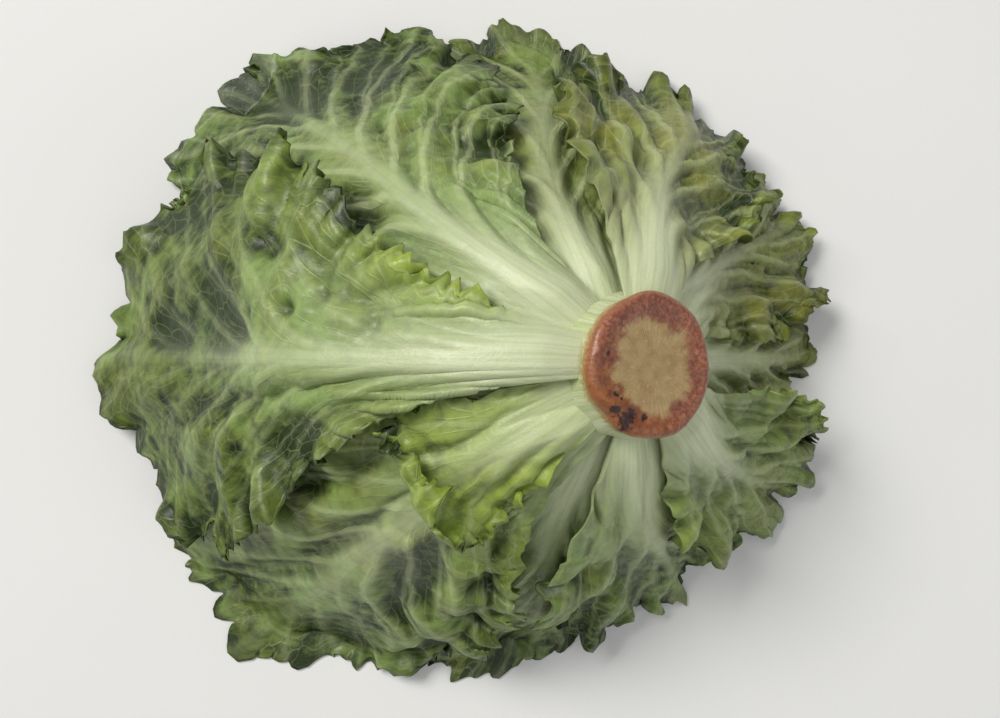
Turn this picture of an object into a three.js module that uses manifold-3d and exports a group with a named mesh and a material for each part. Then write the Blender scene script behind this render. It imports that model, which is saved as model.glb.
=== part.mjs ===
// A head of green gentilina, a loose leaf lettuce with frilled margins, as cut from its root.
// It lies crown down on a table: the cut stem is on top and leans towards +X, and the leaves
// fan out from it like nested hats, the longest ones towards -X.
// Millimetres, +Z up, origin on the table under the middle of the head.

import * as THREE from "three";
import { mergeVertices } from "three/addons/utils/BufferGeometryUtils.js";
import Module from "manifold-3d";

const wasm = await Module();
wasm.setup();

const rad = THREE.MathUtils.degToRad;
const mix = THREE.MathUtils.lerp;

// The stem: where its cut face lies, how it leans, and how it tapers to the growing point.
const CUT_CENTRE = new THREE.Vector3(58.04, -4.79, 101);
const STEM_LEAN = rad(29);
const STEM_RADIUS = 21;
const STEM_TIP_RADIUS = 6;
const STEM_LENGTH = 62;
const STEM_RIM = 2.5;
const STEM_SIDES = 32;
const NOTCH_TURN = rad(-19);
const NOTCH_WIDTH = 0.22;
const NOTCH_DEPTH = 0.07;

// The leaves: the first root's depth below the cut, the length of stem that carries the
// roots, and the gap between a root and the stem.
const FIRST_ROOT = 9;
const ROOTED_LENGTH = 58;
const ROOT_GAP = 0.8;

// Where the head's middle meets the table, and how the rim of the outermost leaves runs round
// the stem, seen from above: a mean radius, and what the lean and the flattening add to it.
const CROWN = new THREE.Vector3(-4.96, -4.79, 0);
const RIM_MEAN = 121;
const RIM_LEAN = -53.5;
const RIM_OVAL = 14;
const RIM_SIDE = 6.5;
const RIM_HEIGHT = 5;
const HEART_RIM_SHARE = 0.16;
const NESTING = 1.1;

// How far a leaf opens from the stem's axis at its root: the outermost and the innermost.
const OUTER_OPENING = rad(64);
const INNER_OPENING = rad(16);

// The blade: its thickness, the pale rib on its back, and the frill of its margin.
const BLADE = 0.9;
const RIB_HALF_WIDTH = 12;
const ROUNDING = 0.36;
const LOBE = 0.035;
const FRILL_REACH = 24;
const FRILL_WAVE = 42;
const BLADE_MIDDLE = 0.45;
const FOLD = 5;
const CLEARANCE = 0.5;
const LEAST_SLOPE = 0.75;
const PRESSING = 3;
const SPLAY = 0.7;

const LOOKS = {
  stem: { color: 0xa8653f, roughness: 0.6, metalness: 0 },
  outer: { color: 0x86ad55, roughness: 0.45, metalness: 0 },
  inner: { color: 0xa9c76c, roughness: 0.45, metalness: 0 },
  heart: { color: 0xd5e39c, roughness: 0.5, metalness: 0 },
};

// The outer leaves as they lie, round the stem from the left. turn is in degrees, level says
// how many leaves lie over it, reach is a share of the way to the rim, and width is across
// the blade, in millimetres. trim is the share of its width that a leaf has near its root on
// the side of the higher turns, where it is folded under. clasp is half the width of its root
// as a share of the stem's radius.
const OUTER_LEAVES = [
  { turn: 179, bend: 0.0, level: 0, reach: 0.97, width: 114, droop: 3, trim: 0.4 },
  { turn: 140, bend: 0.04, level: 1, reach: 1.07, width: 112, droop: 12 },
  { turn: 101, bend: 0.05, level: 2, reach: 1.13, width: 111, droop: 4 },
  { turn: 72, bend: 0.02, level: 0, reach: 0.95, width: 96 },
  { turn: 38, bend: 0.0, level: 1, reach: 1.08, width: 92 },
  { turn: 2, bend: 0.0, level: 2, reach: 1.1, width: 88, droop: 8 },
  { turn: 322, bend: 0.0, level: 0, reach: 0.96, width: 90 },
  { turn: 288, bend: -0.03, level: 1, reach: 1.07, width: 96 },
  { turn: 258, bend: -0.02, level: 2, reach: 1.17, width: 104, droop: 9 },
  { turn: 213, bend: 0.0, level: 0.5, reach: 0.36, width: 46 },
  { turn: 218, bend: -0.02, level: 1, reach: 1.07, width: 106, droop: 8, clasp: 0.8 },
];
const OUTER_LEVEL_STEP = 0.085;
const CLASP = 0.54;

// The inner leaves follow the outer ones in a spiral, each smaller than the last.
const INNER_LEAVES = 9;
const INNER_FIRST_LAYER = 0.255;
const INNER_LAST_LAYER = 0.83;
const GOLDEN_TURN = 137.5;

// The heart: small leaves fused round a core, which carries on from the stem's tip.
const HEART_LEAVES = 6;
const HEART_FIRST_LAYER = 0.93;
const HEART_LAST_LAYER = 1.0;
const HEART_CORE_RADIUS = 9.4;
const HEART_CORE_LENGTH = 16;
const CORE_GAP = 0.4;

// Directions of the leaning stem: out of its cut face, and two square to that.
const stemOut = new THREE.Vector3(Math.sin(STEM_LEAN), 0, Math.cos(STEM_LEAN));
const stemAside = new THREE.Vector3(Math.cos(STEM_LEAN), 0, -Math.sin(STEM_LEAN));
const stemAcross = new THREE.Vector3(0, 1, 0);

// The direction square to the stem's axis at a turn round it.
function sideways(turn) {
  return stemAside.clone().multiplyScalar(Math.cos(turn)).addScaledVector(stemAcross, Math.sin(turn));
}

// The stem's radius at a depth below its cut face.
function stemRadius(depth) {
  return mix(STEM_RADIUS, STEM_TIP_RADIUS, Math.min(1, Math.max(0, depth) / STEM_LENGTH) ** 1.3);
}

// The slow folds that all the leaves share, as a height above the plain hats.
function folds(turn, reach) {
  const broad = Math.sin(3 * turn + 0.6) + 0.7 * Math.sin(5 * turn + 2.1 + reach);
  return FOLD * broad * reach * reach;
}

// A point of one of the nested hats that the leaves lie in. turn goes round the stem, reach
// from the root at 0 to the rim at 1, and layer from the outermost hat at 0 to the heart at 1.
function hat(turn, reach, layer) {
  const depth = FIRST_ROOT + ROOTED_LENGTH * layer;
  const root = CUT_CENTRE.clone()
    .addScaledVector(stemOut, -depth)
    .addScaledVector(sideways(turn), stemRadius(depth - 6) + ROOT_GAP);
  const lean = RIM_LEAN * Math.cos(turn) + RIM_SIDE * Math.sin(turn);
  const radius = RIM_MEAN + lean + RIM_OVAL * Math.cos(2 * turn);
  const rim = CUT_CENTRE.clone();
  rim.x += radius * Math.cos(turn);
  rim.y += radius * Math.sin(turn);
  rim.lerp(CROWN, (1 - HEART_RIM_SHARE) * layer ** NESTING);
  rim.z = RIM_HEIGHT;
  const opening = mix(OUTER_OPENING, INNER_OPENING, layer ** 0.8);
  const chord = root.distanceTo(rim);
  const leaving = sideways(turn).multiplyScalar(Math.sin(opening));
  leaving.addScaledVector(stemOut, -Math.cos(opening));
  const first = root.clone().addScaledVector(leaving, 0.44 * chord);
  const second = root.clone().lerp(rim, mix(0.74, 0.8, layer));
  second.z += mix(0.03, -0.08, layer) * chord;
  const rest = 1 - reach;
  const point = root
    .multiplyScalar(rest ** 3)
    .addScaledVector(first, 3 * rest * rest * reach)
    .addScaledVector(second, 3 * rest * reach * reach)
    .addScaledVector(rim, reach ** 3);
  point.z += folds(turn, reach) * (1 - 0.5 * layer);
  return point;
}

// Distance of a point from the stem's axis.
function fromAxis(point) {
  const offset = point.clone().sub(CUT_CENTRE);
  return offset.addScaledVector(stemOut, -offset.dot(stemOut)).length();
}

// Half the width of a leaf at a share of its length: a narrow root, and a blade that is
// broadest towards its tip.
function halfWidth(leaf, along) {
  const root = leaf.clasp * stemRadius(FIRST_ROOT + ROOTED_LENGTH * leaf.layer);
  const swell = Math.sin((Math.PI / 2) * Math.min(1, along / 0.76)) ** 1.5;
  return mix(root, leaf.width / 2, swell);
}

// The angle that half a leaf's width takes up at a share of its length.
function halfTurn(leaf, along) {
  const middle = hat(leaf.turn + leaf.bend * along ** 2, leaf.reach * along, leaf.layer);
  return halfWidth(leaf, along) / Math.max(fromAxis(middle), 1);
}

// The share of a leaf's width that it has on one side at a share of its length.
function trimmed(leaf, side, along) {
  return side > 0 ? mix(leaf.trim, 1, along) : 1;
}

// How many layers of room a leaf's margin has at a place of its hat before it meets the next
// leaf out, or with side 1 the next leaf in. Away from a neighbour's blade the room grows.
function room(leaf, all, turn, reach, side) {
  let least = 0.35;
  for (const other of all) {
    const apart = (other.layer - leaf.layer) * side;
    if (apart <= 0) continue;
    const along = Math.min(1, reach / other.reach);
    const swing = turn - other.middle(along);
    const aside = Math.abs(Math.atan2(Math.sin(swing), Math.cos(swing))) - 1.3 * other.half(along);
    const beyond = Math.max(0, aside) + 2 * Math.max(0, reach / other.reach - 1.08);
    least = Math.min(least, apart + 0.35 * beyond);
  }
  return least;
}

// Distance along a blade's margin, from the middle of its tip to where the line from the
// blade's own middle through a place leaves the blade.
function marginPlace(x, y, halfWide, length) {
  const tip = (1 - BLADE_MIDDLE) * length;
  if (y > 0 && Math.abs(x) * tip < y * halfWide) return (x / y) * tip;
  const level = Math.max((y * halfWide) / Math.max(Math.abs(x), 1e-6), -BLADE_MIDDLE * length);
  return Math.sign(x) * (halfWide + tip - level);
}

// A leaf's mid surface as a grid of cells, from side -1 to 1 and along 0 to 1, whose outer
// corners are drawn in to a round, lobed outline. Each cell has its point, the way in to the
// heart, the room each way, the height of the frill and the rib's thickness.
function leafGrid(leaf, all, rows, columns) {
  const grid = [];
  const wide = leaf.width / 2;
  const length = leaf.reach * hat(leaf.turn, 0, leaf.layer).distanceTo(hat(leaf.turn, 1, leaf.layer));
  for (let j = 0; j <= rows; j++) {
    const along = 1 - (1 - j / rows) ** 1.1;
    const half = halfWidth(leaf, along);
    for (let i = 0; i <= columns; i++) {
      const even = (2 * i) / columns - 1;
      const side = Math.sign(even) * Math.abs(even) ** 1.1;
      const place = marginPlace(side * wide, (along - BLADE_MIDDLE) * length, wide, length);
      const phase = (2 * Math.PI * place) / FRILL_WAVE;
      const ahead = Math.max(0, (along - BLADE_MIDDLE) / (1 - BLADE_MIDDLE));
      const edge = Math.max(Math.abs(side), ahead);
      const lobe = 1 + LOBE * edge ** 4 * Math.min(1, 2 * along) ** 2 * Math.sin(phase + 5 * leaf.seed);
      const forward = ahead * Math.sqrt(1 - ROUNDING * side ** 2) * lobe;
      const share = Math.min(along, BLADE_MIDDLE) + (1 - BLADE_MIDDLE) * forward;
      const reach = leaf.reach * share;
      const rounded = Math.sqrt(1 - ROUNDING * ahead ** 2) * lobe * trimmed(leaf, side, share);
      const turn = leaf.middle(share) + side * leaf.half(share) * rounded;
      const toMargin = Math.min((1 - Math.abs(side)) * half, (1 - along) * length);
      const outer = Math.min(1, 1.3 * Math.hypot(side, 1.4 * Math.max(0, along - 0.4)));
      const swing = Math.exp(-((toMargin / FRILL_REACH) ** 1.3)) * Math.min(1, 2 * along) ** 2 * outer;
      const wave = leaf.frill * swing * Math.sin(phase + 7 * leaf.seed);
      const rib = Math.exp(-(((side * half) / (RIB_HALF_WIDTH * (1.15 - along))) ** 2)) * (1 - along) ** 1.3;
      const point = hat(turn, reach, leaf.layer);
      point.z -= leaf.droop * (along * (1 - 0.5 * side * side)) ** 8;
      grid.push({
        point,
        inward: hat(turn, reach, leaf.layer + 0.02).sub(hat(turn, reach, leaf.layer)).divideScalar(0.02),
        roomOut: room(leaf, all, turn, reach, -1),
        roomIn: room(leaf, all, turn, reach, 1),
        wave,
        rib: leaf.rib * rib,
      });
    }
  }
  return grid;
}

// The normal of a grid of points at one of them, on the side that faces out of the head.
function gridNormal(points, rows, columns, k) {
  const wide = columns + 1;
  const row = Math.floor(k / wide);
  const column = k % wide;
  const at = (r, c) => points[Math.min(rows, Math.max(0, r)) * wide + Math.min(columns, Math.max(0, c))];
  const along = at(row + 1, column).clone().sub(at(row - 1, column));
  const across = at(row, column + 1).clone().sub(at(row, column - 1));
  return along.cross(across).normalize();
}

// One leaf as a closed body. Its inner face is the mid surface with the frill. Where that
// meets the table it is splayed outwards and pressed flat, with no frill. The back stands off
// it by the thickness, the more so where the frill is steep.
function leafGeometry(leaf, all, rows, columns) {
  const grid = leafGrid(leaf, all, rows, columns);
  const plain = grid.map((cell) => cell.point);
  const wide = columns + 1;
  const normals = plain.map((point, k) => gridNormal(plain, rows, columns, k));
  plain.forEach((point, k) => {
    const splay = (SPLAY * Math.max(0, -point.z)) / Math.hypot(normals[k].x, normals[k].y);
    point.x += splay * normals[k].x;
    point.y += splay * normals[k].y;
  });
  const thick = [];
  const inner = plain.map((point, k) => {
    const cell = grid[k];
    const layerGap = Math.abs(cell.inward.dot(normals[k]));
    const outward = Math.max(0, 0.5 * layerGap * cell.roomOut - BLADE - CLEARANCE);
    const inwards = Math.max(0, 0.5 * layerGap * cell.roomIn - CLEARANCE);
    thick.push(BLADE + Math.min(cell.rib, outward));
    return point.clone().addScaledVector(normals[k], Math.min(outward, Math.max(-inwards, cell.wave)));
  });
  const slopes = inner.map((point, k) => normals[k].dot(gridNormal(inner, rows, columns, k)));
  const back = inner.map((point, k) => {
    const pressed = Math.min(1, Math.max(0, -point.z) / PRESSING);
    point.lerp(plain[k], pressed);
    const away = normals[k].clone();
    away.z += pressed;
    away.normalize();
    const stand = thick[k] / Math.max(LEAST_SLOPE, slopes[k]);
    point.z = Math.max(point.z, 0, -stand * away.z);
    return point.clone().addScaledVector(away, stand);
  });
  const index = [];
  const quad = (a, b, c, d) => index.push(a, b, c, a, c, d);
  const count = grid.length;
  for (let j = 0; j < rows; j++) {
    for (let i = 0; i < columns; i++) {
      const k = j * wide + i;
      const m = k + count;
      quad(k, k + 1, k + wide + 1, k + wide);
      index.push(m, m + wide, m + wide + 1, m, m + wide + 1, m + 1);
    }
    const side = j * wide;
    quad(side, side + wide, side + wide + count, side + count);
    quad(side + wide + columns, side + columns, side + columns + count, side + wide + columns + count);
  }
  for (let i = 0; i < columns; i++) {
    const tip = rows * wide + i;
    quad(i + 1, i, i + count, i + 1 + count);
    quad(tip, tip + 1, tip + 1 + count, tip + count);
  }
  const position = new Float32Array([...inner, ...back].flatMap((point) => point.toArray()));
  const geometry = new THREE.BufferGeometry();
  geometry.setAttribute("position", new THREE.BufferAttribute(position, 3));
  geometry.setIndex(index);
  geometry.computeVertexNormals();
  return geometry;
}

// Every leaf, from the outermost in, with how it runs over its hat.
function allLeaves() {
  const list = OUTER_LEAVES.map((leaf, k) => ({
    ...leaf,
    name: "outer_leaf_" + (k + 1),
    look: LOOKS.outer,
    layer: leaf.level * OUTER_LEVEL_STEP,
    frill: 6,
    rib: 3.6,
    rows: 17,
    columns: 14,
  }));
  for (let k = 0; k < INNER_LEAVES; k++) {
    const share = k / (INNER_LEAVES - 1);
    list.push({
      name: "inner_leaf_" + (k + 1),
      look: LOOKS.inner,
      turn: 160 + GOLDEN_TURN * k,
      bend: 0.08 * Math.sin(4 * k),
      layer: mix(INNER_FIRST_LAYER, INNER_LAST_LAYER, share),
      reach: 0.98 + 0.04 * Math.sin(3 * k),
      width: mix(128, 66, share),
      frill: 6,
      rib: mix(2.4, 1.2, share),
      rows: 10,
      columns: 8,
    });
  }
  for (let k = 0; k < HEART_LEAVES; k++) {
    const share = k / (HEART_LEAVES - 1);
    list.push({
      name: "heart",
      look: LOOKS.heart,
      turn: 75 + GOLDEN_TURN * k,
      bend: 0.05 * Math.sin(3 * k),
      layer: mix(HEART_FIRST_LAYER, HEART_LAST_LAYER, share),
      reach: mix(0.98, 0.85, share),
      width: mix(46, 26, share),
      frill: 2,
      rib: 0.4,
      rows: 7,
      columns: 6,
    });
  }
  for (let k = 0; k < list.length; k++) {
    const leaf = list[k];
    leaf.turn = rad(leaf.turn);
    leaf.droop = leaf.droop ?? 0;
    leaf.trim = leaf.trim ?? 1;
    leaf.clasp = leaf.clasp ?? CLASP;
    leaf.seed = (0.618 * k) % 1;
    leaf.middle = (along) => leaf.turn + leaf.bend * along ** 2;
    leaf.half = (along) => halfTurn(leaf, along);
  }
  return list;
}

// The cut stem: a tapering core. Its cut face is a little sunk inside a proud, uneven rim.
function stemGeometry() {
  const profile = [
    new THREE.Vector2(0, -STEM_LENGTH),
    new THREE.Vector2(stemRadius(STEM_LENGTH), -STEM_LENGTH),
    new THREE.Vector2(stemRadius(45), -45),
    new THREE.Vector2(stemRadius(30), -30),
    new THREE.Vector2(stemRadius(15), -15),
    new THREE.Vector2(STEM_RADIUS, -STEM_RIM),
    new THREE.Vector2(STEM_RADIUS - 0.3 * STEM_RIM, -0.3 * STEM_RIM),
    new THREE.Vector2(STEM_RADIUS - STEM_RIM, 0),
    new THREE.Vector2(0.62 * STEM_RADIUS, -0.7),
    new THREE.Vector2(0, -0.9),
  ];
  const geometry = new THREE.LatheGeometry(profile, STEM_SIDES);
  const position = geometry.attributes.position;
  for (let k = 0; k < position.count; k++) {
    const round = Math.atan2(position.getX(k), position.getZ(k));
    const depth = -position.getY(k);
    const uneven = 0.02 * (1 + Math.sin(3 * round + 1)) + 0.012 * (1 + Math.sin(7 * round)) + notch(round);
    const scale = 1 - uneven * Math.max(0, 1 - depth / 12);
    position.setXYZ(k, position.getX(k) * scale, position.getY(k), position.getZ(k) * scale);
  }
  return geometry;
}

// A nick in the cut's rim, where an old leaf has come away.
function notch(round) {
  const away = Math.atan2(Math.sin(round - NOTCH_TURN), Math.cos(round - NOTCH_TURN));
  return NOTCH_DEPTH * Math.exp(-((away / NOTCH_WIDTH) ** 2));
}

// The heart's core: a bud shape that carries on from the stem's tip with a small gap.
function coreGeometry() {
  const profile = [new THREE.Vector2(0, -CORE_GAP), new THREE.Vector2(0.95 * HEART_CORE_RADIUS, -CORE_GAP)];
  for (const [radius, depth] of [[1, 0.25], [0.95, 0.5], [0.7, 0.78], [0.3, 0.96], [0, 1]]) {
    profile.push(new THREE.Vector2(radius * HEART_CORE_RADIUS, -CORE_GAP - depth * HEART_CORE_LENGTH));
  }
  profile.reverse();
  return new THREE.LatheGeometry(profile, 16);
}

// A closed geometry as a solid that can be joined, and back.
function solidOf(geometry) {
  const bare = geometry.clone();
  bare.deleteAttribute("normal");
  bare.deleteAttribute("uv");
  const merged = mergeVertices(bare, 1e-4);
  return new wasm.Manifold(
    new wasm.Mesh({
      numProp: 3,
      vertProperties: merged.attributes.position.array,
      triVerts: new Uint32Array(merged.index.array),
    }),
  );
}

function geometryOf(solid) {
  const mesh = solid.getMesh();
  const geometry = new THREE.BufferGeometry();
  geometry.setAttribute("position", new THREE.BufferAttribute(mesh.vertProperties, 3));
  geometry.setIndex(new THREE.BufferAttribute(mesh.triVerts, 1));
  geometry.computeVertexNormals();
  return geometry;
}

function addMesh(group, name, geometry, look) {
  const mesh = new THREE.Mesh(geometry, new THREE.MeshStandardMaterial(look));
  mesh.name = name;
  group.add(mesh);
  return mesh;
}

const lettuce = new THREE.Group();
const stem = addMesh(lettuce, "stem", stemGeometry(), LOOKS.stem);
stem.position.copy(CUT_CENTRE);
stem.quaternion.setFromUnitVectors(new THREE.Vector3(0, 1, 0), stemOut);

const all = allLeaves();
for (const leaf of all.filter((leaf) => leaf.look !== LOOKS.heart)) {
  addMesh(lettuce, leaf.name, leafGeometry(leaf, all, leaf.rows, leaf.columns), leaf.look);
}

const core = coreGeometry();
core.translate(0, -STEM_LENGTH, 0);
core.applyQuaternion(stem.quaternion);
core.translate(...CUT_CENTRE.toArray());
const heart = all
  .filter((leaf) => leaf.look === LOOKS.heart)
  .map((leaf) => solidOf(leafGeometry(leaf, all, leaf.rows, leaf.columns)))
  .reduce((body, leaf) => body.add(leaf), solidOf(core));
addMesh(lettuce, "heart", geometryOf(heart), LOOKS.heart);

export default lettuce;
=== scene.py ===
import math

import bpy
import numpy as np
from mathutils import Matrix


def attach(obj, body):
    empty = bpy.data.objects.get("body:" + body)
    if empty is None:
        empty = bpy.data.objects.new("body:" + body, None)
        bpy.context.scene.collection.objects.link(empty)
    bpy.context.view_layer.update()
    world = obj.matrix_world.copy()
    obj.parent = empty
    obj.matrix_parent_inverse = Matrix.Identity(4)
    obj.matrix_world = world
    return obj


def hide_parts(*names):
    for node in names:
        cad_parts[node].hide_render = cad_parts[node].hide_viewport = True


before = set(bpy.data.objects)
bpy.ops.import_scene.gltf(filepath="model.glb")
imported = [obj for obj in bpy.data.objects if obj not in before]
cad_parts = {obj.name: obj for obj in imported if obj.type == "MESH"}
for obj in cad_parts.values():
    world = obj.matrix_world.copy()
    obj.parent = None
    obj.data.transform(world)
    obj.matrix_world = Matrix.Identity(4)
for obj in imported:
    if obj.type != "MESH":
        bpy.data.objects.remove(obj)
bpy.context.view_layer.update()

# The cut stem: the stalk of the head, sliced across with a knife a few days ago, so its rim
# has dried and browned while its middle stays pale and wet. It leans towards +X, tapers to
# the growing point inside the head, and carries every leaf. Sizes are in millimetres.
CUT_CENTRE = np.array([58.04, -4.79, 101.0])
STEM_LEAN = math.radians(29)
STEM_RADIUS, STEM_TIP_RADIUS, STEM_LENGTH, STEM_RIM = 21.0, 6.0, 62.0, 2.5
STEM_OUT = np.array([math.sin(STEM_LEAN), 0, math.cos(STEM_LEAN)])
STEM_ASIDE = np.array([math.cos(STEM_LEAN), 0, -math.sin(STEM_LEAN)])
STEM_ACROSS = np.array([0.0, 1.0, 0.0])
FACE_ROWS, RIM_ROWS, WALL_ROWS, STEM_COLUMNS = 58, 12, 32, 192
PITH_RADIUS, PITH_RISE, PITH_DISH, RING_RISE = 13.0, 0.9, 0.2, 0.7
NOTCH_TURN, NOTCH_WIDTH, NOTCH_DEPTH = math.radians(-138), 0.22, 0.07
COLLAR, COLLAR_DEPTH, COLLAR_SPAN = 2.8, 16, 7.5
BURNT_SPOTS = (
    (-13.9, -13.1, 1.9), (-9.6, -16.2, 2.6), (-13.0, -8.2, 0.9), (-15.2, 3.6, 0.8),
    (-3.0, -15.0, 1.2), (-7.2, -13.4, 1.6), (-11.6, -9.9, 0.5),
)


def sideways(turn):
    """The directions square to the stem's axis at these turns round it."""
    return np.cos(turn)[..., None] * STEM_ASIDE + np.sin(turn)[..., None] * STEM_ACROSS


def stem_radius(depth):
    share = np.clip(depth, 0, STEM_LENGTH) / STEM_LENGTH
    return STEM_RADIUS + (STEM_TIP_RADIUS - STEM_RADIUS) * share**1.3


def waves(x, y, seed):
    """Smooth random waves from -1 to 1, about one to a unit each way."""
    table = np.random.default_rng(seed).uniform(-1, 1, (97, 97))
    x, y = np.broadcast_arrays(np.asarray(x, float), np.asarray(y, float))
    i, j = np.floor(x).astype(int), np.floor(y).astype(int)
    u, v = x - i, y - j
    u, v = u * u * (3 - 2 * u), v * v * (3 - 2 * v)
    low = table[i % 97, j % 97] * (1 - u) + table[(i + 1) % 97, j % 97] * u
    high = table[i % 97, (j + 1) % 97] * (1 - u) + table[(i + 1) % 97, (j + 1) % 97] * u
    return low * (1 - v) + high * v


def grid_piece(name, columns, rows):
    """A flat grid of cells that is shaped afterwards."""
    bpy.ops.object.select_all(action="DESELECT")
    bpy.ops.mesh.primitive_grid_add(x_subdivisions=columns, y_subdivisions=rows, size=1)
    piece = bpy.context.object
    piece.name = piece.data.name = name
    assert len(piece.data.vertices) == (columns + 1) * (rows + 1)
    return piece


def put_points(piece, points):
    piece.data.vertices.foreach_set("co", (0.001 * points).astype(np.float32).ravel())
    piece.data.update()


def put_mask(piece, name, values):
    """One number at each point of a piece, for its material to read."""
    mask = piece.data.attributes.new(name, "FLOAT", "POINT")
    mask.data.foreach_set("value", np.asarray(values, np.float32).ravel())


def put_vectors(piece, name, vectors):
    """Three numbers at each point of a piece, for a pattern that follows its growth."""
    mask = piece.data.attributes.new(name, "FLOAT_VECTOR", "POINT")
    mask.data.foreach_set("vector", vectors.astype(np.float32).ravel())


def close_up(piece):
    """Merges a rolled up grid along its seam and at its poles, and turns its faces outwards."""
    bpy.ops.object.mode_set(mode="EDIT")
    bpy.ops.mesh.select_all(action="SELECT")
    bpy.ops.mesh.remove_doubles(threshold=1e-6)
    bpy.ops.mesh.normals_make_consistent(inside=False)
    bpy.ops.object.mode_set(mode="OBJECT")
    bpy.ops.object.shade_smooth()


def near_turn(turn, middle_turn):
    """1 at a turn round the stem, and 0 from a quarter turn away."""
    return np.clip(np.cos(turn - math.radians(middle_turn)), 0, 1)


# Half of the stalk's outline, from the middle of the cut over its rim and down to the tip.
flat_radius = STEM_RADIUS - STEM_RIM
face_radius = flat_radius * np.linspace(0, 1, FACE_ROWS) ** 0.85
pith_depth = PITH_RISE - PITH_DISH * (face_radius / PITH_RADIUS) ** 2
from_pith = np.clip((face_radius - PITH_RADIUS) / (flat_radius - PITH_RADIUS), 0, 1)
face_depth = np.where(face_radius < PITH_RADIUS, pith_depth, RING_RISE * (1 - from_pith**1.6))
over_rim = np.linspace(0, math.pi / 2, RIM_ROWS)[1:]
wall_depth = np.linspace(STEM_RIM, STEM_LENGTH, WALL_ROWS)[1:]
tip_radius = [4.5, 3.0, 1.5, 0.0]
rim_radius, rim_depth = flat_radius + STEM_RIM * np.sin(over_rim), STEM_RIM - STEM_RIM * np.cos(over_rim)
profile_radius = np.concatenate([face_radius, rim_radius, stem_radius(wall_depth), tip_radius])
profile_depth = np.concatenate([face_depth, rim_depth, wall_depth, [STEM_LENGTH] * len(tip_radius)])

# The uneven rim with its notch, the rough ring, the burnt spots and the ridged wall.
turn = np.linspace(0, 2 * math.pi, STEM_COLUMNS + 1)[None, :]
radius, depth = profile_radius[:, None], profile_depth[:, None]
away = np.arctan2(np.sin(turn - NOTCH_TURN), np.cos(turn - NOTCH_TURN))
uneven = 0.02 * (1 + np.sin(3 * turn + 1)) + 0.012 * (1 + np.sin(7 * turn))
uneven = uneven + NOTCH_DEPTH * np.exp(-((away / NOTCH_WIDTH) ** 2))
scale = (1 - uneven * np.clip(1 - depth / 12, 0, 1)) * (1 + 0.05 * np.exp(-((depth / 9) ** 2)))
flat_x, flat_y = radius * np.cos(turn), radius * np.sin(turn)
ring = np.clip((radius / STEM_RADIUS - 0.62) / 0.2, 0, 1) * np.clip(1 - depth / 14, 0, 1)
rough = waves(flat_x / 2.1 + 9, flat_y / 2.1 + depth / 3, 3)
rough = rough + 0.6 * waves(flat_x / 0.9, flat_y / 0.9 + depth, 4)
spots = sum(np.exp(-((flat_x - x) ** 2 + (flat_y - y) ** 2) / size**2) for x, y, size in BURNT_SPOTS)
spots = np.clip(spots * (depth < 4), 0, 1)
on_face = np.clip(1 - depth / 3, 0, 1)
grain = 0.03 * np.sin(37 * turn + 3 * waves(turn * 4, radius / 6, 8)) * np.clip(radius / 9, 0, 1)
grain = grain * on_face * np.clip(0.3 - np.sin(turn), 0, 1)
proud = 0.28 * rough * ring - 0.75 * spots + grain + 0.25 * ring * waves(turn * 3.2, radius * 0, 6)
ridged = 0.35 * rough * np.clip(depth / 6, 0, 1)
ridged = ridged + 0.5 * np.sin(9 * turn + depth / 7) * np.clip(depth / 20, 0, 1)
collar = COLLAR * np.exp(-(((depth - COLLAR_DEPTH) / COLLAR_SPAN) ** 4))
collar = collar * (1 + 0.18 * np.sin(5 * turn + 1) + 0.1 * waves(turn * 5, depth / 9, 12))
out_by = scale * radius + (0.5 * ridged + collar) * np.clip(radius / 8, 0, 1)
stem_points = CUT_CENTRE + (proud * on_face - depth)[..., None] * STEM_OUT
stem_points = stem_points + out_by[..., None] * sideways(turn)
stem_points = stem_points + 1.6 * np.exp(-((depth[..., None] / 14) ** 2)) * STEM_ASIDE

stem = grid_piece("stalk_cut", STEM_COLUMNS, len(profile_radius) - 1)
put_points(stem, stem_points.reshape(-1, 3))
whole = np.broadcast_to(turn, stem_points.shape[:2])
across = np.where(depth < STEM_RIM + 0.1, radius / STEM_RADIUS, 1 + (depth - STEM_RIM) / STEM_LENGTH)
put_mask(stem, "across", np.broadcast_to(across, whole.shape))
put_mask(stem, "spots", spots)
lengthwise = np.broadcast_to(0.09 * radius + 0.05 * depth, whole.shape)
put_vectors(stem, "fibre", np.stack([14 * np.cos(whole), 14 * np.sin(whole), lengthwise], -1))
bruise = np.clip(0.5 + 0.5 * np.cos(whole - math.radians(95)), 0, 1) ** 2
put_mask(stem, "bruise", bruise + 0.7 * near_turn(whole, -40) ** 4)
put_mask(stem, "amber", near_turn(whole, -128) ** 2)
close_up(stem)


def colour(red, green, blue):
    """A colour as a paint chart gives it, in the renderer's own linear values."""
    shares = [chart / 255 for chart in (red, green, blue)]
    return (*[s / 12.92 if s < 0.0404 else ((s + 0.055) / 1.055) ** 2.4 for s in shares], 1.0)


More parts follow.
